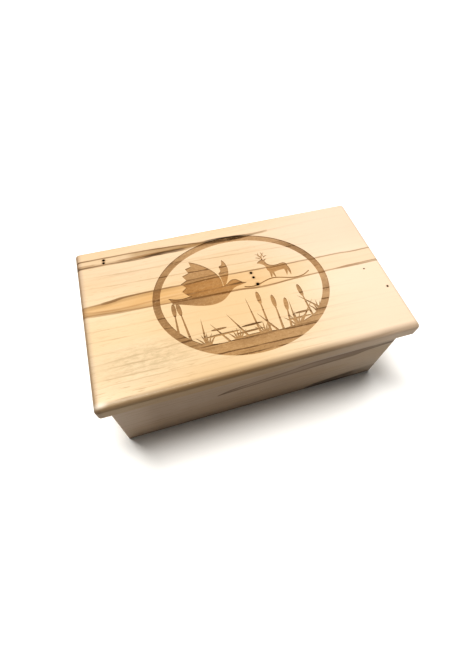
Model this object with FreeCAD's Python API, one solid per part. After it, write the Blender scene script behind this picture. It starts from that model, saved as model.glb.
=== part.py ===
"""Wooden card deck box with a lift-off lid.

A low mitred maple box holds two decks of standard cards on their long edges, one deck each side of a
fixed divider. A solid maple lid overhangs the box by the same amount all round, so its edge is the
finger grip. Two battens screwed across the underside of the lid keep it flat and drop just inside the
end walls, which locates the lid.

Units are millimetres. The origin is on the table at the centre of the box, +X runs along the length,
+Y towards the back and +Z up.
"""

import FreeCAD, Part
import os
from math import atan, degrees

# ---------------------------------------------------------------- driving dimensions
LID_LENGTH = 226.0
LID_WIDTH = 128.5
LID_THICKNESS = 11.5
LID_ROUNDOVER = 3.6          # quarter-round on the top edge
LID_CORNER_RADIUS = 2.5      # rounded vertical corners, in plan
LID_LOWER_EASE = 0.7
OVERHANG = 5.25              # the lid past the walls, the same on all four sides

BODY_HEIGHT = 74.0
WALL_THICKNESS = 11.0
WALL_CORNER_RADIUS = 1.5
WALL_EASE = 0.5              # sanded arris at the foot and the rim

BOTTOM_THICKNESS = 3.5
BOTTOM_RISE = 3.0            # underside of the panel above the table
GROOVE_DEPTH = 4.0
PANEL_FLOAT = 0.5            # gap left at each edge for the panel to move

SPLINE_THICKNESS = 3.0
SPLINE_WIDTH = 9.0
SPLINE_INSET = 7.0           # from both outer faces to the spline's centre
SPLINE_FOOT = 10.0           # above the table
SPLINE_TOP_GAP = 9.0         # below the rim

DIVIDER_THICKNESS = 6.0
DADO_DEPTH = 3.0
DIVIDER_TOP_GAP = 1.5        # below the rim
SCOOP_WIDTH = 52.0           # finger scoop in the divider's top edge
SCOOP_DEPTH = 14.0
DIVIDER_EASE = 0.8

FELT_THICKNESS = 1.0
FELT_GAP = 0.3

ENGRAVING_CENTRE = (0.5, -1.0)
ENGRAVING_DEPTH = 0.4
RING_LENGTH = 131.0          # outside of the oval ring, along X
RING_WIDTH = 104.8
RING_BAND = 5.2

BATTEN_WIDTH = 8.0
BATTEN_THICKNESS = 4.0
BATTEN_CLEARANCE = 0.5       # to the walls, so the lid drops on freely
BATTEN_EASE = 0.8

SCREW_LENGTH = 12.0
SCREW_HEAD_RADIUS = 2.75
SCREW_SHANK_RADIUS = 1.45
SCREW_HEAD_HEIGHT = 1.3
SCREW_TIP_LENGTH = 2.5
SCREW_TIP_RADIUS = 0.3
SCREW_SLOT_WIDTH = 0.8
SCREW_SLOT_DEPTH = 0.7
SCREW_HOLE_RADIUS = 1.65     # clearance hole through the batten
SCREW_RECESS = 0.3           # head below the batten's face
SCREW_SPACING = 60.0         # between the two screws of a batten

# ---------------------------------------------------------------- sizes that follow
BODY_LENGTH = LID_LENGTH - 2 * OVERHANG
BODY_WIDTH = LID_WIDTH - 2 * OVERHANG
INNER_LENGTH = BODY_LENGTH - 2 * WALL_THICKNESS
INNER_WIDTH = BODY_WIDTH - 2 * WALL_THICKNESS
FLOOR = BOTTOM_RISE + BOTTOM_THICKNESS
BATTEN_X = INNER_LENGTH / 2 - BATTEN_CLEARANCE - BATTEN_WIDTH / 2
BATTEN_LENGTH = INNER_WIDTH - 2 * BATTEN_CLEARANCE
BATTEN_FOOT = BODY_HEIGHT - BATTEN_THICKNESS
CUTTER_MARGIN = 5.0          # how far cutting solids run past what they cut

V = FreeCAD.Vector
UP = V(0, 0, 1)


# ---------------------------------------------------------------- helpers
def block(length, width, z_low, z_high, x=0.0, y=0.0):
    """A box centred on (x, y), between two heights."""
    corner = V(x - length / 2, y - width / 2, z_low)
    return Part.makeBox(length, width, z_high - z_low, corner)


def edges_where(shape, wanted):
    """The shape's edges whose bounding box passes the test."""
    return [e for e in shape.Edges if wanted(e.BoundBox)]


def is_vertical(box):
    return box.ZLength > 1.0 and max(box.XLength, box.YLength) < 0.01


def at_height(z):
    """A test for edges that lie flat at one height."""
    return lambda box: box.ZLength < 0.01 and abs(box.ZMin - z) < 0.01


def rounded_block(length, width, z_low, z_high, corner_radius):
    """A block with its four vertical corners rounded."""
    solid = block(length, width, z_low, z_high)
    return solid.makeFillet(corner_radius, edges_where(solid, is_vertical))


# ---------------------------------------------------------------- the box's walls
def wall_frame():
    """The four walls as one ring, with the groove for the bottom and the dadoes for the divider."""
    outer = rounded_block(BODY_LENGTH, BODY_WIDTH, 0, BODY_HEIGHT, WALL_CORNER_RADIUS)
    rims = edges_where(outer, at_height(0)) + edges_where(outer, at_height(BODY_HEIGHT))
    outer = outer.makeChamfer(WALL_EASE, rims)
    inner = block(INNER_LENGTH, INNER_WIDTH, -CUTTER_MARGIN, BODY_HEIGHT + CUTTER_MARGIN)
    groove = block(
        INNER_LENGTH + 2 * GROOVE_DEPTH, INNER_WIDTH + 2 * GROOVE_DEPTH, BOTTOM_RISE, FLOOR
    )
    dadoes = block(
        DIVIDER_THICKNESS, INNER_WIDTH + 2 * DADO_DEPTH, FLOOR, BODY_HEIGHT + CUTTER_MARGIN
    )
    return outer.cut(inner).cut(groove).cut(dadoes)


def corner_spline(x_side, y_side):
    """A hardwood strip set across one mitre, stopped short of the foot and the rim."""
    strip = block(SPLINE_WIDTH, SPLINE_THICKNESS, SPLINE_FOOT, BODY_HEIGHT - SPLINE_TOP_GAP)
    strip.rotate(V(0, 0, 0), UP, -45 * x_side * y_side)
    x = x_side * (BODY_LENGTH / 2 - SPLINE_INSET)
    y = y_side * (BODY_WIDTH / 2 - SPLINE_INSET)
    strip.translate(V(x, y, 0))
    return strip


def mitre_wedge(towards):
    """The space between the mitre planes on one side of the box: front, back, left or right."""
    half_x = BODY_LENGTH / 2
    half_y = BODY_WIDTH / 2
    reach = half_y               # from a corner, 45 degrees inwards, to the long centre line
    out = CUTTER_MARGIN
    if towards in ("front", "back"):
        side = -1 if towards == "front" else 1
        points = [
            (-half_x - out, side * (half_y + out)),
            (half_x + out, side * (half_y + out)),
            (half_x - reach, 0),
            (-half_x + reach, 0),
        ]
    else:
        side = -1 if towards == "left" else 1
        points = [
            (side * (half_x + out), -half_y - out),
            (side * (half_x + out), half_y + out),
            (side * (half_x - reach), 0),
        ]
    outline = [V(x, y, -CUTTER_MARGIN) for x, y in points]
    face = Part.Face(Part.makePolygon(outline + outline[:1]))
    return face.extrude(V(0, 0, BODY_HEIGHT + 2 * CUTTER_MARGIN))


def walls(splines):
    """Each wall is the ring's part between its two mitres, slotted for the splines."""
    ring = wall_frame()
    for strip in splines:
        ring = ring.cut(strip)
    return {
        f"{side}_wall": ring.common(mitre_wedge(side)) for side in ("front", "back", "left", "right")
    }


# ---------------------------------------------------------------- inside the box
def bottom_panel():
    length = INNER_LENGTH + 2 * (GROOVE_DEPTH - PANEL_FLOAT)
    width = INNER_WIDTH + 2 * (GROOVE_DEPTH - PANEL_FLOAT)
    return block(length, width, BOTTOM_RISE, FLOOR)


def divider():
    """A board across the middle, held in the dadoes, with a finger scoop in its top edge."""
    top = BODY_HEIGHT - DIVIDER_TOP_GAP
    board = block(DIVIDER_THICKNESS, INNER_WIDTH + 2 * DADO_DEPTH, FLOOR, top)
    half = SCOOP_WIDTH / 2
    radius = (half**2 + SCOOP_DEPTH**2) / (2 * SCOOP_DEPTH)
    centre = V(-DIVIDER_THICKNESS, 0, top - SCOOP_DEPTH + radius)
    scoop = Part.makeCylinder(radius, 2 * DIVIDER_THICKNESS, centre, V(1, 0, 0))
    board = board.cut(scoop)
    rim = [
        e
        for e in board.Edges
        if e.BoundBox.XLength < 0.01
        and e.BoundBox.ZMin > top - SCOOP_DEPTH - 1.0
        and e.BoundBox.YLength > 1.0
    ]
    return board.makeFillet(DIVIDER_EASE, rim)


def felt_liner(side):
    """The felt on the floor of one bay."""
    bay_length = (INNER_LENGTH - DIVIDER_THICKNESS) / 2
    x = side * (DIVIDER_THICKNESS + bay_length) / 2
    return block(
        bay_length - 2 * FELT_GAP, INNER_WIDTH - 2 * FELT_GAP, FLOOR, FLOOR + FELT_THICKNESS, x
    )


# ---------------------------------------------------------------- the lid's engraving
# Flat faces at height 0 around the ring's centre. They are joined and sunk into the lid together.
def outline_face(*stretches):
    """A face whose edge is a chain of lines (two points) and smooth curves (more points)."""
    edges = []
    for stretch in stretches:
        points = [V(x, y, 0) for x, y in stretch]
        if len(points) == 2:
            edges.append(Part.LineSegment(*points).toShape())
        else:
            curve = Part.BSplineCurve()
            curve.interpolate(points)
            edges.append(curve.toShape())
    return Part.Face(Part.Wire(edges))


def straight_runs(points):
    """The straight stretches between points in a row."""
    return list(zip(points[:-1], points[1:]))


def ellipse_face(length, width, centre=(0, 0), turn=0.0):
    """An ellipse, its length at an angle to +X in degrees."""
    face = Part.Face(Part.Wire(Part.Ellipse(V(0, 0, 0), length / 2, width / 2).toShape()))
    face.rotate(V(0, 0, 0), UP, turn)
    face.translate(V(*centre, 0))
    return face


def leaf(foot, tip, width, bend=0.0):
    """A blade that tapers from its foot to a point, bowed to the left by bend."""
    foot = V(*foot, 0)
    tip = V(*tip, 0)
    along = tip - foot
    across = V(-along.y, along.x, 0).normalize()
    middle = foot + along * 0.5 + across * bend
    swell = across * width * 0.32
    left = foot + across * width / 2
    right = foot - across * width / 2
    left_edge = Part.Arc(left, middle + swell, tip).toShape()
    right_edge = Part.Arc(tip, middle - swell, right).toShape()
    base = Part.LineSegment(right, left).toShape()
    return Part.Face(Part.Wire([left_edge, right_edge, base]))


def placed(faces, x, y, scale=1.0):
    """Copies of faces, scaled about their own origin and then moved."""
    moved = []
    for face in faces:
        copy = face.copy()
        copy.scale(scale)
        copy.translate(V(x, y, 0))
        moved.append(copy)
    return moved


def oval_ring():
    outer = ellipse_face(RING_LENGTH, RING_WIDTH)
    return outer.cut(inner_oval())


def inner_oval():
    return ellipse_face(RING_LENGTH - 2 * RING_BAND, RING_WIDTH - 2 * RING_BAND)


def ground():
    """The bank along the foot of the oval, up to a rolling line."""
    line = [(-62, -24), (-46, -33), (-26, -38.5), (-4, -37), (16, -39), (38, -35), (62, -20)]
    below = outline_face(line, [(62, -20), (62, -60)], [(62, -60), (-62, -60)], [(-62, -60), (-62, -24)])
    return below.common(inner_oval())


def grass():
    """Tufts of short blades along the bank, each fanned about its own foot."""
    tufts = [(-36, -37, 9), (-15, -38, 8), (4, -38, 8), (28, -38, 10), (47, -31, 8)]
    blades = []
    for x, y, height in tufts:
        for lean in (-0.8, -0.35, 0.1, 0.5, 0.9):
            tall = height * (1.1 - 0.45 * abs(lean))
            blades.append(leaf((x + 2 * lean, y - 1), (x + height * lean, y + tall), 1.4, 0.8 * lean))
    return blades


def reeds():
    """Long bare stalks, upright or blown over, from foot to tip."""
    stalks = [
        ((-37, -36), (-36, -16)), ((-21, -39), (-31, -22)), ((-8, -38), (-18, -17)), ((1, -39), (-1, -7)),
        ((27, -39), (29, -17)), ((31, -38), (46, -21)), ((50, -31), (36, -15)), ((13, -39), (3, -22)),
    ]
    return [leaf(foot, tip, 1.5) for foot, tip in stalks]


def cattail(x, y, height, lean):
    """A stalk that leans, with a fat head below its tip. The lean is sideways travel per unit of height."""
    top_x = x + height * lean
    top_y = y + height
    head_rise = 0.78 * height
    head_x = x + head_rise * lean
    head_y = y + head_rise
    turn = 90 - degrees(atan(lean))
    return [
        leaf((x, y), (top_x, top_y), 1.6),
        ellipse_face(11.0, 3.2, (head_x, head_y), turn),
    ]


def cattails():
    stems = [
        (-53, -26, 27, 0.04), (-46, -33, 36, -0.09),
        (8, -39, 37, 0.02), (17, -39, 30, 0.05), (23, -39, 24, 0.16), (41, -35, 30, -0.03),
    ]
    return [face for stem in stems for face in cattail(*stem)]


def ripples():
    """Long thin lens shapes for the water in front of the bank."""
    places = [
        (-25, -32, 26), (-6, -34.5, 20), (31, -33.5, 18), (-3, -30, 15), (35, -29.5, 12), (-26, -27.5, 11)
    ]
    return [ellipse_face(length, 1.5, (x, y)) for x, y, length in places]


def hills():
    """A thin rolling skyline."""
    line = [(2, 2.5), (12, 1.5), (24, 4.6), (38, 1.5), (54, 4.5)]
    thickness = 0.9
    lower = [(x, y - thickness) for x, y in reversed(line)]
    return outline_face(line, [line[-1], lower[0]], lower, [lower[-1], line[0]])


def flying_duck():
    """A plain duck in level flight towards +X, wings up, its origin in the middle of its body."""
    body_top = [
        (25, 3.2), (21.5, 4.6), (19, 6.8), (16, 7), (12.5, 4.6), (6, 3.4), (-6, 2.6), (-14, 1.2), (-24, 3.4)
    ]
    body_under = [
        (-22, -1.5), (-13, -4.4), (-3, -7.4), (7, -6.4), (13, -1.8), (17.5, 1.4), (21, 2.0), (25, 3.2)
    ]
    tail = [(-24, 3.4), (-22, -1.5)]
    near_front = [(9, 1.5), (10, 9), (5.5, 18.5), (-6, 27.5)]
    near_feathers = [
        (-6, 27.5), (-5.6, 23.6), (-9.4, 22.6), (-8.2, 19), (-12.4, 17.4), (-10.6, 13.8),
        (-14.4, 11.8), (-12, 8.4), (-15, 6), (-11.6, 1.8),
    ]
    far_front = [(10.5, 2.5), (14.5, 9), (16.5, 16), (14.5, 24)]
    far_feathers = [
        (14.5, 24), (13.4, 20), (11.4, 19), (11.6, 15.4), (9.8, 13.8), (10.4, 10), (10.5, 2.5)
    ]
    return [
        outline_face(body_top, tail, body_under),
        outline_face(near_front, *straight_runs(near_feathers), [near_feathers[-1], near_front[0]]),
        outline_face(far_front, *straight_runs(far_feathers)),
    ]


def standing_deer():
    """A plain deer side on, facing -X, its origin on the ground under its body."""
    back = [
        (-12.6, 19.2), (-9.4, 21.8), (-6.8, 22), (-4.2, 17), (-1, 14.6), (5, 14.2), (10.5, 14.4), (12.4, 11.6)
    ]
    belly = [
        (12.4, 11.6), (10.6, 8.2), (4, 7.6), (-3.4, 7.2), (-6.2, 10), (-6.6, 14.4), (-9, 17.6), (-12.6, 19.2)
    ]
    legs = [
        leaf((-3.8, 10), (-5.6, 0), 2.8, 0.3),
        leaf((-2.4, 10), (-1.4, 0.4), 2.6, -0.3),
        leaf((9.0, 11), (8.2, 0.4), 3.4, 0.9),
        leaf((10.4, 11), (12.0, 0), 3.4, 0.9),
    ]
    antlers = [
        leaf((-7.6, 21.4), (-11.6, 30), 1.3, -1.8),
        leaf((-6.8, 21.4), (-2.6, 30), 1.3, 1.8),
        leaf((-8.4, 24), (-12.6, 25.6), 1.1, -0.4),
        leaf((-8.9, 26.4), (-8.2, 31), 1.1),
        leaf((-5.2, 24.6), (-1.2, 26), 1.1, 0.4),
        leaf((-4.9, 26.6), (-5.8, 31), 1.1),
    ]
    ear = leaf((-6.6, 20.6), (-3.4, 22.4), 1.8)
    return [outline_face(back, belly), ear] + legs + antlers


def engraving():
    """All the engraved areas as one flat shape around the ring's centre."""
    faces = [oval_ring(), ground(), hills()]
    faces += grass() + reeds() + cattails() + ripples()
    faces += placed(flying_duck(), -25, 2, 1.2)
    faces += placed(standing_deer(), 29, 3.4, 0.88)
    return faces[0].fuse(faces[1:]).removeSplitter()


def engraving_cutter():
    """The engraved areas, from their floor to clear above the lid."""
    x, y = ENGRAVING_CENTRE
    flat = engraving()
    flat.translate(V(x, y, BODY_HEIGHT + LID_THICKNESS - ENGRAVING_DEPTH))
    return flat.extrude(V(0, 0, ENGRAVING_DEPTH + CUTTER_MARGIN))


# ---------------------------------------------------------------- the lid
def screw_places():
    """The centre of each screw, left batten first."""
    return [(sx * BATTEN_X, sy * SCREW_SPACING / 2) for sx in (-1, 1) for sy in (-1, 1)]


def screw(x, y):
    """A slotted countersunk wood screw, head down, driven up through a batten into the lid."""
    z = BATTEN_FOOT + SCREW_RECESS
    head = Part.makeCone(SCREW_HEAD_RADIUS, SCREW_SHANK_RADIUS, SCREW_HEAD_HEIGHT, V(x, y, z))
    shank_length = SCREW_LENGTH - SCREW_HEAD_HEIGHT - SCREW_TIP_LENGTH
    shank = Part.makeCylinder(SCREW_SHANK_RADIUS, shank_length, V(x, y, z + SCREW_HEAD_HEIGHT))
    tip_foot = V(x, y, z + SCREW_HEAD_HEIGHT + shank_length)
    tip = Part.makeCone(SCREW_SHANK_RADIUS, SCREW_TIP_RADIUS, SCREW_TIP_LENGTH, tip_foot)
    slot = block(
        4 * SCREW_HEAD_RADIUS, SCREW_SLOT_WIDTH, z - CUTTER_MARGIN, z + SCREW_SLOT_DEPTH, x, y
    )
    return head.fuse([shank, tip]).removeSplitter().cut(slot)


def pilot_hole(x, y):
    """The hole that a screw fills in the lid."""
    depth = SCREW_LENGTH + SCREW_RECESS - BATTEN_THICKNESS - SCREW_TIP_LENGTH
    hole = Part.makeCylinder(SCREW_SHANK_RADIUS, depth, V(x, y, BODY_HEIGHT))
    tip_foot = V(x, y, BODY_HEIGHT + depth)
    tip = Part.makeCone(SCREW_SHANK_RADIUS, SCREW_TIP_RADIUS, SCREW_TIP_LENGTH, tip_foot)
    return hole.fuse(tip).removeSplitter()


def lid_panel():
    """One board with rounded corners, a quarter-round top edge and an eased lower edge."""
    top = BODY_HEIGHT + LID_THICKNESS
    board = rounded_block(LID_LENGTH, LID_WIDTH, BODY_HEIGHT, top, LID_CORNER_RADIUS)
    board = board.makeFillet(LID_ROUNDOVER, edges_where(board, at_height(top)))
    board = board.makeFillet(LID_LOWER_EASE, edges_where(board, at_height(BODY_HEIGHT)))
    board = board.cut(engraving_cutter())
    for x, y in screw_places():
        board = board.cut(pilot_hole(x, y))
    return board


def batten(side):
    """A strip across the lid's underside, just inside an end wall, drilled for two screws."""
    x = side * BATTEN_X
    strip = block(BATTEN_WIDTH, BATTEN_LENGTH, BATTEN_FOOT, BODY_HEIGHT, x)
    strip = strip.makeChamfer(BATTEN_EASE, edges_where(strip, at_height(BATTEN_FOOT)))
    seat_foot = BATTEN_FOOT + SCREW_RECESS
    for sx, y in screw_places():
        if sx * side < 0:
            continue
        mouth = Part.makeCylinder(
            SCREW_HEAD_RADIUS, SCREW_RECESS + CUTTER_MARGIN, V(x, y, BATTEN_FOOT - CUTTER_MARGIN)
        )
        sink = Part.makeCone(
            SCREW_HEAD_RADIUS, SCREW_SHANK_RADIUS, SCREW_HEAD_HEIGHT, V(x, y, seat_foot)
        )
        hole = Part.makeCylinder(SCREW_HOLE_RADIUS, BATTEN_THICKNESS, V(x, y, seat_foot))
        strip = strip.cut(mouth.fuse([sink, hole]))
    return strip


# ---------------------------------------------------------------- write the parts
def all_parts():
    splines = {
        f"corner_spline_{y_name}_{x_name}": corner_spline(x_side, y_side)
        for y_name, y_side in (("front", -1), ("back", 1))
        for x_name, x_side in (("left", -1), ("right", 1))
    }
    parts = walls(splines.values())
    parts.update(splines)
    parts["bottom_panel"] = bottom_panel()
    parts["divider"] = divider()
    parts["felt_liner_left"] = felt_liner(-1)
    parts["felt_liner_right"] = felt_liner(1)
    parts["lid_panel"] = lid_panel()
    parts["lid_batten_left"] = batten(-1)
    parts["lid_batten_right"] = batten(1)
    parts["batten_screws"] = Part.makeCompound([screw(x, y) for x, y in screw_places()])
    return parts


os.makedirs("parts", exist_ok=True)
for name, shape in all_parts().items():
    assert shape.isValid(), name
    assert shape.Solids, name
    shape.exportStep(f"parts/{name}.step")
    print(f"{name}: {len(shape.Solids)} solid(s), {shape.Volume / 1000:.2f} cm3")
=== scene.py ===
"""The looks of the wooden card deck box: maple with brown insect streaks, felt, plywood and brass.

Positions inside the materials are in millimetres in the frame of the CAD model, so a streak is drawn
where it lies on the board.
"""
from math import cos, radians, sin, tau

import bmesh
import bpy
from mathutils import Matrix, Vector
from mathutils import noise as noise_of


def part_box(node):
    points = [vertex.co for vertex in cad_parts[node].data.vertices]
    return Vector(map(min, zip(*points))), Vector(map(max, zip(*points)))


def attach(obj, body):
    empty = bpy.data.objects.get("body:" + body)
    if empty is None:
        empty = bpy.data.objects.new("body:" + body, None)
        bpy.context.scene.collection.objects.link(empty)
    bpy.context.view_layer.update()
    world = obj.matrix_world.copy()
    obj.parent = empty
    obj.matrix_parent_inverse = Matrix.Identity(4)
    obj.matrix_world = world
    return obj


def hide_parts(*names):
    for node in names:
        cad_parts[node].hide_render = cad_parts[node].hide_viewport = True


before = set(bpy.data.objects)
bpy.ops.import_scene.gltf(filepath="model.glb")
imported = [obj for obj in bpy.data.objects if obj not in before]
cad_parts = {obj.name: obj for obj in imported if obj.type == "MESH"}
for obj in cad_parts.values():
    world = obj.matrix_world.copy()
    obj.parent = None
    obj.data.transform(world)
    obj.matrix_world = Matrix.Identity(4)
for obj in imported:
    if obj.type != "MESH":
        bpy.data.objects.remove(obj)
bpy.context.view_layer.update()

MM = 0.001
LID_LOW, LID_HIGH = (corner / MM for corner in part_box("lid_panel"))
LID_END = LID_HIGH.x
# the walls' streaks are drawn this far to either side of the middle
WALL_END = 107


# ---------------------------------------------------------------- shader wiring
class Shader:
    """Wires the nodes of one material. Every method that computes something returns a socket."""

    def __init__(self, name):
        self.material = bpy.data.materials.new(name)
        self.material.use_nodes = True
        self.tree = self.material.node_tree
        self.tree.nodes.clear()

    def node(self, kind, inputs, **settings):
        """Adds a node and fills its inputs, each with a value or with a socket."""
        made = self.tree.nodes.new("ShaderNode" + kind)
        for name, value in settings.items():
            setattr(made, name, value)
        for key, value in inputs.items():
            if isinstance(value, bpy.types.NodeSocket):
                self.tree.links.new(value, made.inputs[key])
            else:
                made.inputs[key].default_value = value
        return made

    def math(self, operation, a, b=0.0):
        return self.node("Math", {0: a, 1: b}, operation=operation).outputs[0]

    def add(self, a, b):
        return self.math("ADD", a, b)

    def subtract(self, a, b):
        return self.math("SUBTRACT", a, b)

    def times(self, a, b):
        return self.math("MULTIPLY", a, b)

    def larger(self, a, b):
        return self.math("MAXIMUM", a, b)

    def ramp(self, value, low, high, to_low=0.0, to_high=1.0):
        """Smoothly from to_low at low to to_high at high. low may be above high."""
        flipped = not isinstance(low, bpy.types.NodeSocket) and low > high
        if flipped:
            low, high, to_low, to_high = high, low, to_high, to_low
        inputs = {"Value": value, "From Min": low, "From Max": high, "To Min": to_low, "To Max": to_high}
        made = self.node("MapRange", inputs, interpolation_type="SMOOTHSTEP", clamp=True)
        return made.outputs[0]

    def band(self, value, centre, half_width, softness):
        """1 within half_width of centre, falling to 0 over softness beyond it."""
        distance = self.math("ABSOLUTE", self.subtract(value, centre))
        past = self.subtract(distance, half_width)
        return self.ramp(past, softness, 0.0)

    def curve(self, value, points):
        """A smooth curve through (value, result) points."""
        lows = [min(p[i] for p in points) for i in (0, 1)]
        highs = [max(p[i] for p in points) for i in (0, 1)]
        spans = [max(high - low, 1e-6) for low, high in zip(lows, highs)]
        scaled = self.math("DIVIDE", self.subtract(value, lows[0]), spans[0])
        made = self.node("FloatCurve", {"Value": scaled})
        line = made.mapping.curves[0]
        while len(line.points) < len(points):
            line.points.new(0.5, 0.5)
        for handle, point in zip(line.points, points):
            handle.location = [(p - low) / span for p, low, span in zip(point, lows, spans)]
        made.mapping.update()
        return self.add(self.times(made.outputs[0], spans[1]), lows[1])

    def vector(self, x, y, z):
        return self.node("CombineXYZ", {0: x, 1: y, 2: z}).outputs[0]

    def length(self, vector):
        return self.node("VectorMath", {0: vector}, operation="LENGTH").outputs["Value"]

    def noise(self, place, scale=1.0, detail=2.0, roughness=0.5):
        """Smooth noise from 0 to 1 about 0.5, over a vector."""
        inputs = {"Vector": place, "Scale": scale, "Detail": detail, "Roughness": roughness}
        return self.node("TexNoise", inputs, noise_dimensions="3D").outputs[0]

    def mix(self, factor, a, b, blend="MIX"):
        """Mixes colours. a and b are (r, g, b) or sockets."""
        made = self.tree.nodes.new("ShaderNodeMix")
        made.data_type = "RGBA"
        made.blend_type = blend
        made.clamp_factor = True
        for socket, value in ((made.inputs[0], factor), (made.inputs[6], a), (made.inputs[7], b)):
            if isinstance(value, bpy.types.NodeSocket):
                self.tree.links.new(value, socket)
            elif isinstance(value, tuple):
                socket.default_value = (*value, 1.0)
            else:
                socket.default_value = value
        return made.outputs[2]

    def toned(self, factor, colour, tone):
        """The colour multiplied by the tone, as far as factor says."""
        return self.mix(factor, colour, self.mix(1.0, colour, tone, "MULTIPLY"))

    def place_in_mm(self):
        """The point's X, Y and Z in the frame at rest."""
        place = self.node("TexCoord", {}).outputs["Object"]
        scaled = self.node("VectorMath", {0: place, "Scale": 1 / MM}, operation="SCALE").outputs[0]
        return list(self.node("SeparateXYZ", {0: scaled}).outputs)

    def normal(self):
        """The size of the surface normal's X, Y and Z in the piece's own space."""
        normal = self.node("TexCoord", {}).outputs["Normal"]
        size = self.node("VectorMath", {0: normal}, operation="ABSOLUTE").outputs[0]
        return list(self.node("SeparateXYZ", {0: size}).outputs)

    def finish(self, colour, roughness, height=None, height_mm=0.05, **surface):
        """Ends the material in a Principled surface, with height as its relief."""
        inputs = {"Base Color": colour, "Roughness": roughness, **surface}
        if height is not None:
            relief = {"Height": height, "Distance": height_mm * MM, "Strength": 1.0}
            inputs["Normal"] = self.node("Bump", relief).outputs[0]
        surface_node = self.node("BsdfPrincipled", inputs)
        self.node("OutputMaterial", {"Surface": surface_node.outputs[0]})
        return self.material


# ---------------------------------------------------------------- wood
AXES = {"x": 0, "y": 1, "z": 2}

# the plain wood
PALE = (0.63, 0.50, 0.345)
PALE_WARM = (0.60, 0.455, 0.285)
PALEST = (0.68, 0.565, 0.41)
RING_LINE = (0.36, 0.25, 0.145)
END_GRAIN = (0.46, 0.34, 0.225)
# painted shade inside the insect holes
HOLE_SHADE = (0.006, 0.004, 0.003)

# where along a board its growth lines start and finish fading towards either end
FADE_NEAR = (-82.0, -108.0)
FADE_FAR = (30.0, 95.0)

# the streaks near the lid's back edge
STREAK_BROWN = (0.24, 0.13, 0.055)
STREAK_FILL = (0.30, 0.185, 0.08)
STREAK_THIN = (0.15, 0.078, 0.026)
STREAK_SKIRT = (0.205, 0.108, 0.035)
STREAK_LOWER = (0.075, 0.038, 0.012)
STREAK_DARK = (0.045, 0.024, 0.010)

# the tan band across the lid
BAND_TAN = (0.525, 0.33, 0.15)
BAND_SHADE = (0.34, 0.21, 0.095)
BAND_VEIN = (0.36, 0.20, 0.08)
BAND_UPPER_EDGE = (0.19, 0.105, 0.04)
BAND_LOWER_EDGE = (0.215, 0.115, 0.042)

# the lid's broad tones and its edge, with painted shade in front and on the edge and a painted highlight at
# a corner; the ones named TONE multiply what they lie on
LID_RIGHT = (0.67, 0.545, 0.43)
LID_MIDDLE = (0.57, 0.40, 0.225)
# painted shade towards the lid's front
LID_FRONT_SHADE = (0.54, 0.385, 0.215)
GREY_SPOT = (0.39, 0.305, 0.18)
# painted highlight for the lid's front left corner
PAINTED_GLINT = (0.76, 0.69, 0.59)
BACK_TONE = (0.945, 0.925, 0.935)
# painted shade on the lid's rounded edge, partly the darker colour of routed wood and end grain
EDGE_SHADE_TONE = (0.74, 0.71, 0.67)
LEFT_EDGE_TONE = (0.86, 0.855, 0.90)
# painted shade along the front edge and over the lower part of its rounding
FRONT_EDGE_SHADE_TONE = (0.88, 0.865, 0.87)
SHOULDER_SHADE_TONE = (0.68, 0.665, 0.64)

# the laser's floor, and how far from the lid's middle it reaches along and across
BURNT_TONE = (0.66, 0.56, 0.45)
BURNT = (0.21, 0.13, 0.068)
CHARRED = (0.125, 0.07, 0.033)
SCORCHED = (0.17, 0.10, 0.05)
BARELY_BURNT = (0.5, 0.36, 0.22)
RASTER_GAP = 0.5
ENGRAVED_REACH = (70.0, 57.0)

# the walls
SPINDLE_FILL = (0.23, 0.155, 0.10)
SPINDLE_EDGE = (0.12, 0.070, 0.038)
# a dark streak at the front wall's foot, deepened with painted shade
FOOT_STREAK_AND_SHADE = (0.15, 0.11, 0.08)
WALL_TAN = (0.52, 0.335, 0.17)
WALL_BROWN = (0.38, 0.245, 0.14)
# painted shade on the front wall's outer face
FRONT_SHADE_TONE = (0.70, 0.685, 0.75)
# painted shade over the front wall's middle and painted light at its right end
FRONT_MIDDLE_SHADE_TONE = (0.88, 0.86, 0.84)
FRONT_RIGHT_LIGHT_TONE = (1.08, 1.12, 1.14)
OTHER_WALLS_TONE = (0.86, 0.83, 0.83)

# the woods inside
WALNUT_DARK = (0.11, 0.058, 0.03)
WALNUT_PALE = (0.27, 0.155, 0.085)
BIRCH_PALE = (0.74, 0.58, 0.39)
BIRCH_WARM = (0.66, 0.49, 0.30)
BIRCH_CONTOUR = (0.50, 0.34, 0.19)
BIRCH_PORE = (0.34, 0.22, 0.12)


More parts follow.
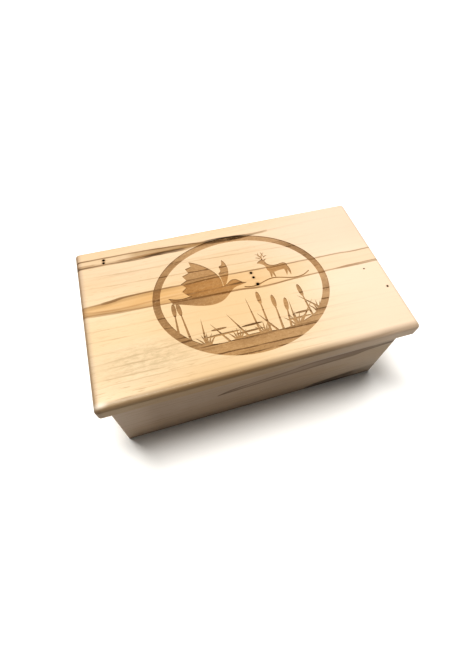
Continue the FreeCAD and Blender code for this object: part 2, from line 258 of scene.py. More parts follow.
class Board:
    """A maple board's own coordinates in a shader, in millimetres: along, across and through its grain."""

    def __init__(self, shader, grain, seed, pith=(-190.0, -40.0), ring_gap=5.5, lines=(), ends=(1.0, 1.0)):
        """grain names the frame's axes along, across and through the board, as in "xyz".

        seed picks its part of the noise. pith is where its tree's centre lay, as (across, through),
        and ring_gap is the distance between two growth rings. lines are its boldest growth lines,
        each as (along, across) points and a strength. ends says how strongly the growth lines show
        towards its two ends.
        """
        self.shader = shader
        place = shader.place_in_mm()
        facing = shader.normal()
        self.along, self.across, self.through = (place[AXES[axis]] for axis in grain)
        self.end_grain = shader.ramp(facing[AXES[grain[0]]], 0.35, 0.9)
        self.seed = seed
        self.pith = pith
        self.ring_gap = ring_gap
        self.lines = lines
        self.ends = ends
        self.facing_up = facing[2]

    def stretched(self, along, across, through, shift=0.0):
        """A place for noise, with its own frequency in each direction, in cycles per millimetre.

        shift moves it along, so that two noises of one board differ.
        """
        shader = self.shader
        return shader.vector(
            shader.add(shader.times(self.along, along), self.seed + shift),
            shader.times(self.across, across),
            shader.times(self.through, through),
        )

    def wander(self, length, amount, shift=0.0):
        """How far the grain strays sideways, in millimetres, in waves about length long."""
        shader = self.shader
        sway = shader.noise(self.stretched(1 / length, 0.012, 0.012, shift), detail=1.0)
        return shader.times(shader.subtract(sway, 0.5), amount)

    def rings(self):
        """Thin darker lines where the board cuts the tree's growth rings, some strong and some faint."""
        shader = self.shader
        across = shader.subtract(self.across, self.pith[0])
        through = shader.subtract(self.through, self.pith[1])
        squared = shader.add(shader.times(across, across), shader.times(through, through))
        radius = shader.math("SQRT", squared)
        radius = shader.add(radius, shader.add(self.wander(210.0, 9.0), self.wander(45.0, 1.2, shift=7.0)))
        uneven = shader.noise(shader.vector(shader.times(radius, 0.09), self.seed, 0.0), detail=1.0)
        radius = shader.add(radius, shader.times(uneven, 2.6 * self.ring_gap))
        count = shader.math("DIVIDE", radius, self.ring_gap)
        part = shader.math("FRACT", count)
        line = shader.times(shader.ramp(part, 0.55, 0.95), shader.ramp(part, 1.0, 0.95))
        number = shader.math("FLOOR", count)
        strength = shader.node("TexWhiteNoise", {"W": number}, noise_dimensions="1D").outputs[0]
        patches = shader.noise(self.stretched(0.02, 0.05, 0.05, shift=3.0))
        patchy = shader.ramp(patches, 0.34, 0.62, 0.2, 1.0)
        return shader.times(shader.times(line, shader.ramp(strength, 0.25, 1.0, 0.1, 1.0)), patchy)

    def growth(self):
        """Every growth line of the board: the ordinary ones, and its bold ones, which come and go."""
        shader = self.shader
        mask = shader.times(self.rings(), 0.65)
        patches = shader.noise(self.stretched(0.03, 0.06, 0.06, shift=5.0), detail=2.0)
        fading = shader.ramp(patches, 0.36, 0.58, 0.25, 1.0)
        for points, strength in self.lines:
            bold = shader.band(self.rough_across(1.0), shader.curve(self.along, points), 0.12, 0.6)
            mask = shader.larger(mask, shader.times(bold, shader.times(fading, strength)))
        return mask

    def colours(self, dashed=0.3):
        """The wood's plain figure. dashed says how strongly its short brown dashes show.

        Returns the colour, the height of the fibres and the growth lines.
        """
        shader = self.shader
        tone = shader.noise(self.stretched(0.008, 0.035, 0.035, shift=11.0), detail=3.0)
        colour = shader.mix(shader.ramp(tone, 0.3, 0.72), PALE, PALE_WARM)
        growth = self.growth()
        near = shader.ramp(self.along, *FADE_NEAR, 1.0, self.ends[0])
        far = shader.ramp(self.along, *FADE_FAR, 1.0, self.ends[1])
        shown = shader.times(growth, shader.times(near, far))
        colour = shader.mix(shown, colour, RING_LINE)
        fibres = shader.noise(self.stretched(0.045, 1.5, 1.5, shift=19.0), detail=4.0, roughness=0.6)
        colour = shader.mix(shader.ramp(fibres, 0.5, 0.9, 0.0, 0.30), colour, RING_LINE)
        colour = shader.mix(shader.ramp(fibres, 0.5, 0.15, 0.0, 0.16), colour, PALEST)
        flecks = shader.noise(self.stretched(0.28, 3.4, 3.4, shift=29.0), detail=1.0)
        pores = shader.ramp(flecks, 0.69, 0.80)
        colour = shader.mix(shader.times(pores, 0.35), colour, STREAK_BROWN)
        streaky = shader.noise(self.stretched(0.1, 0.95, 0.95, shift=37.0), detail=1.0)
        dashes = shader.ramp(streaky, 0.62, 0.74)
        colour = shader.mix(shader.times(dashes, dashed), colour, RING_LINE)
        colour = shader.mix(shader.times(self.end_grain, 0.42), colour, END_GRAIN)
        height = shader.subtract(fibres, shader.times(pores, 0.8))
        return colour, height, growth

    def rough_across(self, amount):
        """The across coordinate with the small wobble that a streak's edge has."""
        shader = self.shader
        slow = shader.noise(self.stretched(0.05, 0.02, 0.02, shift=41.0), detail=2.0)
        fast = shader.noise(self.stretched(0.22, 0.5, 0.5, shift=43.0), detail=2.0)
        slow = shader.times(shader.subtract(slow, 0.5), amount)
        fast = shader.times(shader.subtract(fast, 0.5), amount * 0.5)
        return shader.add(self.across, shader.add(slow, fast))

    def line(self, colour, centre, half_width, strength, tint, softness, skirt=None):
        """Draws one dark line. centre and strength are (along, value) points.

        half_width is the same, or one number. skirt is the colour of the line's soft edges, where
        that isn't simply a thinner tint.
        """
        shader = self.shader
        middle = shader.curve(self.along, centre)
        half = shader.curve(self.along, half_width) if isinstance(half_width, list) else half_width
        mask = shader.band(self.rough_across(0.7), middle, half, softness)
        uneven = shader.noise(self.stretched(0.06, 0.8, 0.8, shift=53.0), detail=3.0)
        ragged = shader.ramp(uneven, 0.25, 0.6, 0.62, 1.0)
        amount = shader.times(mask, shader.times(shader.curve(self.along, strength), ragged))
        if skirt:
            tint = shader.mix(shader.ramp(amount, 0.35, 0.95), skirt, tint)
        return shader.mix(amount, colour, tint)

    def stain(self, colour, low, high, strength, tint, softness=0.8):
        """Tints the space between two lines given as (along, across) points."""
        shader = self.shader
        across = self.rough_across(0.9)
        above_low = shader.subtract(across, shader.curve(self.along, low))
        below_high = shader.subtract(shader.curve(self.along, high), across)
        over = shader.ramp(above_low, -softness / 2, softness / 2)
        under = shader.ramp(below_high, -softness / 2, softness / 2)
        amount = shader.times(shader.times(over, under), shader.curve(self.along, strength))
        uneven = shader.noise(self.stretched(0.03, 0.3, 0.3, shift=61.0), detail=3.0)
        cloudy = shader.ramp(uneven, 0.2, 0.75, 0.6, 1.0)
        return shader.mix(shader.times(amount, cloudy), colour, tint)

    def patch(self, centre, reach):
        """A soft spot in the board: 1 at centre, 0 at reach along and across from it."""
        shader = self.shader
        u = shader.times(shader.subtract(self.along, centre[0]), 1 / reach[0])
        v = shader.times(shader.subtract(self.across, centre[1]), 1 / reach[1])
        return shader.ramp(shader.length(shader.vector(u, v, 0.0)), 1.0, 0.1)

    def pinholes(self, colour, height, holes):
        """Small insect holes, each (along, across, radius) with a stained rim, painted near black inside as
        shade.

        Returns the colour, the height and where the holes are.
        """
        shader = self.shader
        here = shader.vector(self.along, self.across, 0.0)
        depth = 6.0
        dark = 0.0
        for along, across, radius in holes:
            inputs = {0: here, 1: (along, across, 0.0)}
            distance = shader.node("VectorMath", inputs, operation="DISTANCE").outputs["Value"]
            rim = shader.ramp(distance, radius * 2.4, radius, 0.0, 0.45)
            colour = shader.mix(rim, colour, STREAK_BROWN)
            dark = shader.larger(dark, shader.ramp(distance, radius * 1.25, radius * 0.75))
        height = shader.subtract(height, shader.times(dark, depth))
        # painted shade inside the holes: near black
        return shader.mix(dark, colour, HOLE_SHADE), height, dark

    def lacquered(self, colour, height, roughness=0.5, covered=1.0):
        """A satin lacquer over the wood where it is covered, duller over the end grain."""
        shader = self.shader
        uneven = shader.noise(self.stretched(0.02, 0.03, 0.03, shift=71.0), detail=2.0)
        rough = shader.add(roughness, shader.ramp(uneven, 0.3, 0.7, -0.04, 0.05))
        rough = shader.add(rough, shader.times(self.end_grain, 0.12))
        sheen = {
            "Coat Weight": shader.times(covered, 0.07),
            "Coat Roughness": 0.15,
            "Specular IOR Level": shader.times(covered, 0.2),
        }
        return shader.finish(colour, rough, height, 0.03, **sheen)


def lid_streaks(board, colour):
    """Near the back edge: two dark lines with brown between them, a short smear and a dark lens."""
    upper = [(-LID_END, 54.3), (-80, 54.3), (-60, 54.0), (-40, 52.9), (-25, 51.9), (-12, 50.8), (6, 50.4)]
    lower = [(-LID_END, 48.0), (-86, 47.6), (-70, 47.4), (-55, 48.2), (-45, 48.4), (-33, 48.1), (-14, 48.6)]
    stained = [(-LID_END, 0.3), (-100, 0.1), (-80, 0.2), (-66, 0.85), (-45, 1.0), (-20, 1.0), (-6, 0.3)]
    colour = board.stain(colour, lower, upper, stained, STREAK_FILL, 1.8)
    shown = [(-LID_END, 0.85), (-85, 0.7), (-60, 0.8), (-25, 0.85), (-12, 0.4), (0, 0.0)]
    colour = board.line(colour, upper, 0.35, shown, STREAK_THIN, 0.5)
    thick = [(-LID_END, 0.6), (-88, 0.3), (-70, 0.65), (-60, 0.8), (-40, 1.0), (-26, 0.4)]
    shown = [(-LID_END, 0.85), (-86, 0.7), (-66, 0.85), (-55, 0.95), (-38, 0.9), (-30, 0.5), (-22, 0.0)]
    colour = board.line(colour, lower, thick, shown, STREAK_LOWER, 1.1, STREAK_SKIRT)
    smear = [(-LID_END, 49.8), (-97, 49.5), (-84, 49.3), (-66, 49.6), (-54, 50.2)]
    shown = [(-LID_END, 0.6), (-101, 0.5), (-97, 0.0), (-86, 0.0), (-80, 0.5), (-60, 0.5), (-50, 0.0)]
    colour = board.line(colour, smear, 0.3, shown, STREAK_BROWN, 0.6)
    lens = [(-28, 51.3), (-12, 50.5), (0, 50.2), (10, 49.8), (20, 49.7), (36, 50.4)]
    thick = [(-28, 0.3), (-16, 0.9), (-4, 1.6), (8, 1.5), (17, 1.0), (24, 0.5), (36, 0.4)]
    shown = [(-29, 0.0), (-18, 0.55), (-8, 1.0), (8, 1.0), (16, 0.9), (27, 0.65), (34, 0.5), (38, 0.0)]
    return board.line(colour, lens, thick, shown, STREAK_DARK, 1.2, STREAK_SKIRT)


def lid_band(board, colour):
    """The tan band across the lid, brightest at its left end and edged with dark brown."""
    upper = [
        (-LID_END, 12.3), (-98, 12.8), (-90, 13.6), (-80, 14.7), (-60, 14.8), (-40, 14.5),
        (-20, 15.1), (0, 14.7), (30, 13.6), (60, 13.1), (85, 12.8), (100, 12.0), (LID_END, 12.3),
    ]
    lower = [
        (-LID_END, 4.8), (-90, 3.2), (-60, 1.6), (-20, 0.2), (0, -0.6), (20, -2.4), (35, -1.7),
        (60, -1.1), (LID_END, -1.0),
    ]
    filled = [(-LID_END, 0.6), (-98, 0.9), (-60, 1.0), (-20, 0.75), (20, 0.4), (LID_END, 0.2)]
    colour = board.stain(colour, lower, upper, filled, BAND_TAN, 1.2)
    shown = [(-LID_END, 0.4), (-100, 0.6), (-60, 0.5), (-40, 0.2), (0, 0.0)]
    for edge, offset in ((upper, -1.4), (lower, 1.4)):
        inside = [(x, y + offset) for x, y in edge]
        colour = board.line(colour, inside, 0.5, shown, BAND_SHADE, 2.2)
    vein = [(-LID_END, 9.0), (-100, 6.6), (-86, 5.6), (-60, 6.2), (0, 6.0)]
    colour = board.line(colour, vein, 0.2, shown, BAND_VEIN, 0.8)
    thick = [(-LID_END, 0.1), (-100, 0.3), (-93, 0.8), (-84, 0.5), (-74, 0.3), (LID_END, 0.2)]
    shown = [(-LID_END, 0.4), (-100, 0.6), (-93, 0.85), (-60, 0.85), (0, 0.8), (60, 0.7), (LID_END, 0.6)]
    colour = board.line(colour, upper, thick, shown, BAND_UPPER_EDGE, 0.75)
    thick = [
        (-LID_END, 0.3), (-92, 0.8), (-78, 0.4), (-50, 0.2), (-25, 0.5), (70, 0.3), (90, 0.8),
        (LID_END, 0.7),
    ]
    shown = [(-LID_END, 0.35), (-90, 0.6), (-60, 0.65), (-30, 0.9), (40, 0.85), (80, 0.7), (LID_END, 0.65)]
    return board.line(colour, lower, thick, shown, BAND_LOWER_EDGE, 0.6)


def engraved(board, colour, height, growth):
    """The laser's brown floor, wherever the surface lies below the lid's top inside the oval.

    Its beam burns the growth lines darkest. Returns the colour, the height and where the floor is.
    """
    shader = board.shader
    top = LID_HIGH.z
    half_long, half_wide = ENGRAVED_REACH
    along = shader.times(board.along, 1 / half_long)
    across = shader.times(board.across, 1 / half_wide)
    reach = shader.length(shader.vector(along, across, 0.0))
    below_top = shader.ramp(board.through, top - 0.02, top - 0.12)
    above_underside = shader.ramp(board.through, top - 2.0, top - 1.0)
    cut = shader.times(shader.times(below_top, shader.ramp(reach, 1.0, 0.98)), above_underside)
    burnt = shader.mix(1.0, colour, BURNT_TONE, "MULTIPLY")
    broad = shader.noise(board.stretched(0.012, 0.11, 0.11, shift=79.0), detail=3.0, roughness=0.6)
    shade = shader.ramp(broad, 0.42, 0.7, 0.0, 0.35)
    shade = shader.add(shade, shader.ramp(board.along, -20.0, -66.0, 0.0, 0.5))
    shade = shader.add(shade, shader.times(board.patch((57, 24), (22, 22)), 0.6))
    burnt = shader.mix(shade, burnt, BURNT)
    burnt = shader.mix(shader.ramp(growth, 0.04, 0.38, 0.0, 0.85), burnt, CHARRED)
    scorch = shader.noise(board.stretched(0.5, 0.9, 0.9, shift=83.0), detail=4.0, roughness=0.75)
    burnt = shader.mix(shader.ramp(scorch, 0.48, 0.75, 0.0, 0.4), burnt, SCORCHED)
    burnt = shader.mix(shader.ramp(scorch, 0.5, 0.25, 0.0, 0.4), burnt, BARELY_BURNT)
    raster = shader.math("SINE", shader.times(board.across, tau / RASTER_GAP))
    height = shader.add(height, shader.times(cut, shader.times(raster, 0.4)))
    return shader.mix(cut, colour, burnt), height, cut


def lid_tones(board, colour):
    """The lid's broad tones: warm in the middle, darker and warmer in front as painted shade, pale to the
    right, darker behind.

    A grey spot lies at the front left.
    """
    shader = board.shader
    colour = shader.mix(shader.ramp(board.along, -10.0, 95.0, 0.0, 0.75), colour, LID_RIGHT)
    colour = shader.mix(shader.times(board.patch((-12, -10), (86, 60)), 0.8), colour, LID_MIDDLE)
    # painted shade towards the front, in a warm tone
    colour = shader.mix(shader.times(board.patch((-34, -66), (76, 28)), 0.9), colour, LID_FRONT_SHADE)
    back = shader.ramp(board.across, 2.0, 34.0)
    colour = shader.toned(back, colour, BACK_TONE)
    speckle = shader.noise(board.stretched(0.2, 0.8, 0.8, shift=97.0), detail=5.0, roughness=0.75)
    spot = shader.times(board.patch((-74, -37), (52, 20)), shader.ramp(speckle, 0.4, 0.62, 0.2, 1.0))
    return shader.mix(shader.times(spot, 0.6), colour, GREY_SPOT)


def edge_shade_and_glint(board, colour):
    """The rounded edge: painted shade over its tilted faces, partly the darker colour of routed wood and
    end grain, weaker towards the right end; a little darker over the left end's rounding; painted shade
    along the front edge and over the lower part of its rounding; and a painted highlight at the front left
    corner.
    """
    shader = board.shader
    # painted shade over the rounding's tilted faces, partly the darker colour of routed wood and end grain
    edge = shader.ramp(board.facing_up, 0.99, 0.8)
    edge = shader.times(edge, shader.ramp(board.along, 30.0, 100.0, 1.0, 0.45))
    colour = shader.toned(edge, colour, EDGE_SHADE_TONE)
    left = shader.ramp(board.along, LID_LOW.x + 5.2, LID_LOW.x + 2.8)
    colour = shader.toned(left, colour, LEFT_EDGE_TONE)
    # painted shade along the front edge
    front = shader.ramp(board.across, LID_LOW.y + 6.25, LID_LOW.y + 2.85)
    front = shader.times(front, shader.ramp(board.along, 60.0, 105.0, 1.0, 0.6))
    colour = shader.toned(front, colour, FRONT_EDGE_SHADE_TONE)
    # painted shade over the lower part of the front rounding
    steepest = shader.ramp(board.along, 50.0, 100.0, 0.1, 0.7)
    shoulder = shader.times(front, shader.ramp(board.facing_up, steepest, shader.add(steepest, 0.25)))
    shoulder_shade_along = [(-LID_END, 1.0), (30, 1.0), (65, 0.45), (76, 0.5), (92, 0.95), (LID_END, 1.0)]
    shoulder = shader.times(shoulder, shader.curve(board.along, shoulder_shade_along))
    colour = shader.toned(shoulder, colour, SHOULDER_SHADE_TONE)
    # painted highlight at the front left corner
    glint = shader.times(board.patch((-109, -60.4), (7, 3)), 0.55)
    return shader.mix(glint, colour, PAINTED_GLINT)


# the boldest growth lines: where each crosses the left end, the middle and the right end, and its strength
BOLD_LINES = [
    (38, 33, 25.5, 0.6), (28, 23.2, 19, 0.55), (-8, -12.5, -18.5, 0.5), (-16.5, -21, -28, 0.45),
    (-26.5, -30, -37, 0.55), (-37.5, -40, -45, 0.6), (-45, -47.5, -52, 0.6), (-49, -51.5, -56, 0.5),
    (-55, -57, -60, 0.4),
]
# each hole's place along and across, and its radius
PINHOLES = [
    (-92.7, 52.3, 1.0), (-93.0, 49.6, 0.9), (11.1, 11.9, 1.0), (11.6, 7.4, 0.95),
    (12.7, 0.7, 1.2), (96.7, -6.9, 0.5), (106.2, -26.7, 0.7),
]


def lid_wood():
    """The lid's maple: its plain figure, its streaks and band, the engraving, and the edge with its painted
    shade and highlight.
    """
    shader = Shader("maple_lid")
    lines = []
    for left, middle, right, strength in BOLD_LINES:
        lines.append(([(-LID_END, left), (0, middle), (LID_END, right)], strength))
    board = Board(shader, "xyz", 3.7, lines=lines, ends=(0.5, 0.45))
    front_left = board.patch((-72, -54), (66, 26))
    dashed = shader.add(0.2, shader.times(front_left, 0.4))
    colour, height, growth = board.colours(dashed)
    colour = lid_tones(board, colour)
    colour = lid_band(board, lid_streaks(board, colour))
    colour, height, cut = engraved(board, colour, height, growth)
    colour, height, hole = board.pinholes(colour, height, PINHOLES)
    colour = edge_shade_and_glint(board, colour)
    bare = shader.larger(cut, hole)
    rough = shader.add(0.5, shader.times(bare, 0.35))
    return board.lacquered(colour, height, rough, shader.subtract(1.0, bare))


def front_streak(board, colour):
    """A long brown spindle that rises to the right under the lid, and a dark streak along the foot,
    deepened as painted shade where the wall meets the table.
    """
    high = [(-32, 43.2), (-17, 48), (0, 50), (20, 53), (40, 57), (55, 57.6), (WALL_END, 57.2)]
    low = [(-32, 42.6), (0, 45.5), (20, 46.5), (40, 48), (60, 49), (72, 49.2), (85, 53), (WALL_END, 56)]
    filled = [
        (-34, 0.0), (-29, 0.8), (-8, 0.5), (30, 0.5), (50, 0.9), (75, 1.0), (92, 0.8),
        (WALL_END, 0.7),
    ]
    colour = board.stain(colour, low, high, filled, SPINDLE_FILL)
    shown = [(-35, 0.0), (-29, 0.8), (-8, 0.6), (40, 0.6), (70, 0.5), (WALL_END, 0.75)]
    colour = board.line(colour, high, 0.35, shown, SPINDLE_EDGE, 1.1)
    colour = board.line(colour, low, 0.45, shown, SPINDLE_EDGE, 1.1)
    # a dark streak along the foot, deepened as painted shade at the table
    foot = [(42, -3), (WALL_END, -3)]
    foot_top = [(42, 3), (48, 6.5), (60, 9), (75, 12), (88, 14), (WALL_END, 16)]
    filled = [(43, 0.0), (50, 0.9), (82, 1.0), (91, 0.5), (WALL_END, 0.3)]
    return board.stain(colour, foot, foot_top, filled, FOOT_STREAK_AND_SHADE, 3.0)


def front_shade_and_light(board, colour):
    """Painted shade over the middle of the front wall, leaving its left end lighter, and a little painted
    light at its right end.
    """
    shader = board.shader
    # painted shade over the middle, leaving the left end lighter
    brown = shader.times(shader.ramp(board.along, -92.0, -78.0), shader.ramp(board.along, 90.0, 10.0))
    colour = shader.toned(brown, colour, FRONT_MIDDLE_SHADE_TONE)
    # painted light at the right end
    right = shader.ramp(board.along, 20.0, 100.0)
    return shader.toned(right, colour, FRONT_RIGHT_LIGHT_TONE)


def wall_streaks(board, colour, streaks):
    """Nearly level stains, each with a thin dark edge. streaks are (height, thickness, tint)."""
    for height, thickness, tint in streaks:
        low = [(-WALL_END, height - 2), (-40, height + 1), (30, height - 1), (WALL_END, height + 2)]
        high = [(x, y + thickness * (0.7 + 0.3 * sin(x / 31))) for x, y in low]
        shown = [(-WALL_END, 0.7), (-20, 0.25), (40, 0.6), (WALL_END, 0.35)]
        colour = board.stain(colour, low, high, shown, tint)
        colour = board.line(colour, high, 0.2, shown, STREAK_BROWN, 0.8)
    return colour


def darkened_outside(board, colour, side, sign):
    """A wall's outer face, darkened: the front wall's strongly, as painted shade, and the other walls' a
    little.
    """
    shader = board.shader
    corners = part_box(f"{side}_wall")
    axis = 1 if side in ("front", "back") else 0
    outer = max(abs(corner[axis]) for corner in corners) / MM
    outside = shader.ramp(shader.times(board.through, sign), outer - 2.0, outer - 0.3)
    # painted shade on the front wall's outer face; a milder darker tone on the others
    tone = FRONT_SHADE_TONE if side == "front" else OTHER_WALLS_TONE
    return shader.toned(outside, colour, tone)


WALL_SEEDS = {"front": 20.3, "back": 33.1, "left": 47.9, "right": 58.6}
# each wall's streaks: height above the table, thickness and tint
WALL_STREAKS = {
    "back": [(20, 9, WALL_TAN), (55, 3, WALL_BROWN)],
    "left": [(34, 7, WALL_TAN), (12, 2, WALL_BROWN)],
    "right": [(24, 3, WALL_BROWN), (48, 8, WALL_TAN)],
}


def wall_wood(side):
    """One wall's maple, with its grain along the wall and its streaks level."""
    shader = Shader(f"maple_{side}_wall")
    grain = "xzy" if side in ("front", "back") else "yzx"
    sign = -1 if side in ("front", "left") else 1
    board = Board(shader, grain, WALL_SEEDS[side], pith=(-150.0, sign * -30.0), ring_gap=4.6)
    colour, height, _ = board.colours()
    colour = darkened_outside(board, colour, side, sign)
    if side == "front":
        colour = front_streak(board, front_shade_and_light(board, colour))
    else:
        colour = wall_streaks(board, colour, WALL_STREAKS[side])
    return board.lacquered(colour, height)


def plain_wood(name, grain, seed):
    """Maple with no streaks, for the pieces inside."""
    shader = Shader(name)
    board = Board(shader, grain, seed, pith=(10.0, -60.0))
    colour, height, _ = board.colours()
    return board.lacquered(colour, height, 0.48)


def walnut():
    """The splines' bare dark wood."""
    shader = Shader("walnut_spline")
    board = Board(shader, "xyz", 91.0)
    fibres = shader.noise(board.stretched(2.0, 2.0, 0.05), detail=4.0)
    colour = shader.mix(shader.ramp(fibres, 0.3, 0.7), WALNUT_DARK, WALNUT_PALE)
    return shader.finish(colour, 0.6, fibres, 0.05)


def birch_plywood():
    """A rotary-cut birch face: broad cloudy figure and short pores, with no lacquer."""
    shader = Shader("birch_plywood")
    board = Board(shader, "xyz", 77.0)
    cloud = shader.noise(board.stretched(0.012, 0.05, 0.05), detail=3.0)
    colour = shader.mix(shader.ramp(cloud, 0.3, 0.7), BIRCH_PALE, BIRCH_WARM)
    ripple = shader.noise(board.stretched(0.03, 0.16, 0.16, shift=5.0), detail=2.0)
    contour = shader.math("FRACT", shader.times(ripple, 9.0))
    colour = shader.mix(shader.ramp(contour, 0.7, 1.0, 0.0, 0.3), colour, BIRCH_CONTOUR)
    pores = shader.ramp(shader.noise(board.stretched(0.2, 2.6, 2.6, shift=9.0)), 0.62, 0.75)
    colour = shader.mix(shader.times(pores, 0.4), colour, BIRCH_PORE)
    return shader.finish(colour, 0.72, shader.subtract(cloud, pores), 0.04)


# ---------------------------------------------------------------- felt and brass
FELT_DARK = (0.016, 0.075, 0.04)
FELT_LIGHT = (0.05, 0.165, 0.085)
FELT_MOTTLE = (0.03, 0.125, 0.075)
FELT_HAIR = (0.12, 0.25, 0.16)
BRASS_BRIGHT = (0.78, 0.56, 0.24)
BRASS_TARNISHED = (0.45, 0.29, 0.11)


def felt():
    """Pressed wool: matted fibres lying every way, with a soft sheen."""
    shader = Shader("green_felt")
    x, y, z = shader.place_in_mm()
    place = shader.vector(x, y, z)
    mottle = shader.noise(place, 0.12, detail=3.0)
    wool = shader.noise(place, 1.3, detail=5.0, roughness=0.75)
    cells = {"Vector": place, "Scale": 2.2, "Randomness": 1.0}
    hairs = shader.node("TexVoronoi", cells, feature="DISTANCE_TO_EDGE").outputs["Distance"]
    colour = shader.mix(shader.ramp(wool, 0.3, 0.75), FELT_DARK, FELT_LIGHT)
    colour = shader.mix(shader.ramp(mottle, 0.35, 0.7, 0.0, 0.4), colour, FELT_MOTTLE)
    colour = shader.mix(shader.ramp(hairs, 0.05, 0.0, 0.0, 0.35), colour, FELT_HAIR)
    height = shader.add(wool, shader.ramp(hairs, 0.2, 0.0, 0.0, 0.4))
    sheen = {"Sheen Weight": 0.6, "Sheen Roughness": 0.45}
    return shader.finish(colour, 0.95, height, 0.25, **sheen)


def brass():
    """Dulled brass, with brown tarnish in patches and fine scratches."""
    shader = Shader("turned_brass")
    x, y, z = shader.place_in_mm()
    place = shader.vector(x, y, z)
    tarnish = shader.noise(place, 0.9, detail=4.0)
    colour = shader.mix(shader.ramp(tarnish, 0.35, 0.75), BRASS_BRIGHT, BRASS_TARNISHED)
    scratches = shader.noise(shader.vector(x, shader.times(y, 9.0), z), 1.6, detail=3.0)
    rough = shader.ramp(tarnish, 0.3, 0.8, 0.26, 0.5)
    return shader.finish(colour, rough, scratches, 0.02, Metallic=1.0)


# ---------------------------------------------------------------- pieces
def dress(node, material):
    """Gives a CAD node its material."""
    node_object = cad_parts[node]
    node_object.data.materials.clear()
    node_object.data.materials.append(material)
    for polygon in node_object.data.polygons:
        polygon.material_index = 0


FELT_STEP = 1.5 * MM
NAP = 0.14 * MM
CUT_WOBBLE = 0.25 * MM


def inward(u, v, layer):
    """How far the cut strayed towards the sheet's middle, at u across the sheet and v along its edge."""
    stray = 0.5 + 0.5 * noise_of.noise(Vector((v * 22, u * 3, layer)))
    return stray * (1 - 2 * u)


def felt_top(name, low, high):
    """The top of a sheet of felt: its nap a little uneven, and its cut edges not quite straight."""
    width, length = high.x - low.x, high.y - low.y
    columns = round(width / FELT_STEP)
    rows = round(length / FELT_STEP)
    top = bmesh.new()
    grid = []
    for j in range(rows + 1):
        for i in range(columns + 1):
            u = i / columns
            v = j / rows
            wave = noise_of.noise(Vector((u * 14, v * 14, low.x * 90)))
            fuzz = noise_of.noise(Vector((i * 0.9, j * 0.9, 2)))
            x = low.x + u * width + CUT_WOBBLE * inward(u, v, 5)
            y = low.y + v * length + CUT_WOBBLE * inward(v, u, 9)
            z = high.z - NAP * (0.5 + 0.3 * wave + 0.2 * fuzz)
            grid.append(top.verts.new((x, y, z)))
    for j in range(rows):
        for i in range(columns):
            corner = j * (columns + 1) + i
            ring = (corner, corner + 1, corner + columns + 2, corner + columns + 1)
            top.faces.new([grid[k] for k in ring])
    mesh = bpy.data.meshes.new(name)
    top.to_mesh(mesh)
    top.free()
    for polygon in mesh.polygons:
        polygon.use_smooth = True
    return mesh


def felt_sheet(side, wool):
    """A cut sheet of felt over one bay's floor, with soft edges."""
    low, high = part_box(f"felt_liner_{side}")
    mesh = felt_top(f"felt_{side}", low, high)
    mesh.materials.append(wool)
    sheet = bpy.data.objects.new(f"felt_sheet_{side}", mesh)
    bpy.context.scene.collection.objects.link(sheet)
    thick = sheet.modifiers.new("thickness", "SOLIDIFY")
    thick.thickness = high.z - low.z - NAP
    thick.offset = -1.0
    soft = sheet.modifiers.new("soft_edges", "BEVEL")
    soft.width = 0.3 * MM
    soft.segments = 3
    soft.limit_method = "ANGLE"
    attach(sheet, "box")
    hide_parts(f"felt_liner_{side}")


def dress_everything():
    """Gives every piece its material, and each bay its sheet of felt."""
    dress("lid_panel", lid_wood())
    for side in ("front", "back", "left", "right"):
        dress(f"{side}_wall", wall_wood(side))
    dark = walnut()
    for y_side in ("front", "back"):
        for x_side in ("left", "right"):
            dress(f"corner_spline_{y_side}_{x_side}", dark)
    dress("bottom_panel", birch_plywood())
    dress("divider", plain_wood("maple_divider", "yzx", 64.2))
    for side, seed in (("left", 12.4), ("right", 15.8)):
        dress(f"lid_batten_{side}", plain_wood(f"maple_batten_{side}", "yxz", seed))
    dress("batten_screws", brass())
    wool = felt()
    for side in ("left", "right"):
        felt_sheet(side, wool)


# ---------------------------------------------------------------- the stage
TABLE_HALF = 3.0
TABLE_PALE = (0.93, 0.925, 0.91)
TABLE_PALEST = (0.95, 0.945, 0.93)
LAMP_WARM = (1.0, 0.985, 0.96)
SKY_WARM = (1.0, 0.985, 0.965)
SKY_STRENGTH = 0.13
LAMP_TARGET = Vector((0, 0, 0.06))
CAMERA_PLACE = (-0.0624, -0.1502, 0.3042)
HEADING = radians(-20.87)
DEPRESSION = radians(58.71)
ROLL = radians(4.51)
LENS = 20.73


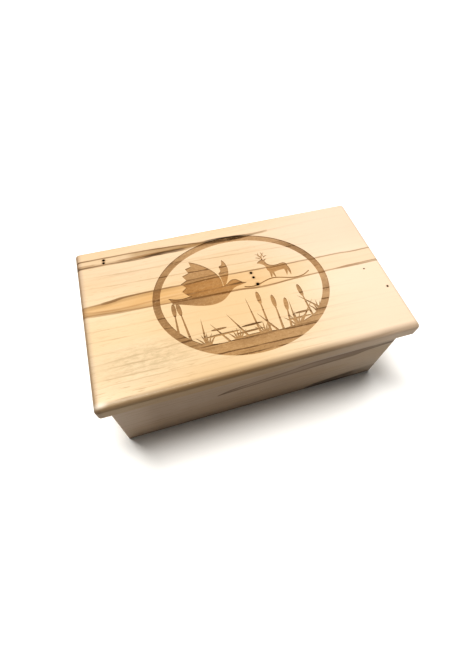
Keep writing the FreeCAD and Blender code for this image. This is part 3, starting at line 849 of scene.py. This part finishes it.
def floor():
    """A plain pale table top."""
    mesh = bpy.data.meshes.new("table_top")
    half = TABLE_HALF
    corners = [(-half, -half, 0), (half, -half, 0), (half, half, 0), (-half, half, 0)]
    mesh.from_pydata(corners, [], [(0, 1, 2, 3)])
    table = bpy.data.objects.new("table_top", mesh)
    bpy.context.scene.collection.objects.link(table)
    shader = Shader("pale_table")
    x, y, z = shader.place_in_mm()
    cloud = shader.noise(shader.vector(x, y, z), 0.01, detail=2.0)
    colour = shader.mix(cloud, TABLE_PALE, TABLE_PALEST)
    mesh.materials.append(shader.finish(colour, 0.7))


def area_light(name, azimuth, elevation, distance, size, power, tint):
    """A soft lamp aimed at the box. Its azimuth and elevation are in degrees, from +Y towards +X."""
    lamp = bpy.data.lights.new(name, "AREA")
    lamp.shape = "RECTANGLE"
    lamp.size, lamp.size_y = size
    lamp.energy = power
    lamp.color = tint
    a = radians(azimuth)
    e = radians(elevation)
    direction = Vector((sin(a) * cos(e), cos(a) * cos(e), sin(e)))
    light = bpy.data.objects.new(name, lamp)
    light.location = LAMP_TARGET + direction * distance
    light.rotation_euler = (-direction).to_track_quat("-Z", "Y").to_euler()
    bpy.context.scene.collection.objects.link(light)


def lights():
    """A long lamp overhead, a window to the back right and the pale room all round."""
    area_light("overhead", -48, 79, distance=1.3, size=(0.26, 0.72), power=15.8, tint=LAMP_WARM)
    area_light("window", 38, 42, distance=1.6, size=(1.4, 0.9), power=7.5, tint=SKY_WARM)
    world = bpy.data.worlds.new("room")
    bpy.context.scene.world = world
    world.use_nodes = True
    background = world.node_tree.nodes["Background"]
    background.inputs["Color"].default_value = (*SKY_WARM, 1.0)
    background.inputs["Strength"].default_value = SKY_STRENGTH
    bpy.context.scene.view_settings.view_transform = "Standard"
    bpy.context.scene.view_settings.look = "High Contrast"


def camera():
    """Close over the box's front left, looking down steeply."""
    data = bpy.data.cameras.new("camera")
    data.lens = LENS
    data.clip_start = 0.01
    eye = bpy.data.objects.new("camera", data)
    turn = Matrix.Rotation(HEADING, 4, "Z")
    tilt = Matrix.Rotation(radians(90) - DEPRESSION, 4, "X")
    roll = Matrix.Rotation(ROLL, 4, "Z")
    eye.matrix_world = Matrix.Translation(CAMERA_PLACE) @ turn @ tilt @ roll
    bpy.context.scene.collection.objects.link(eye)
    bpy.context.scene.camera = eye


dress_everything()
floor()
lights()
camera()
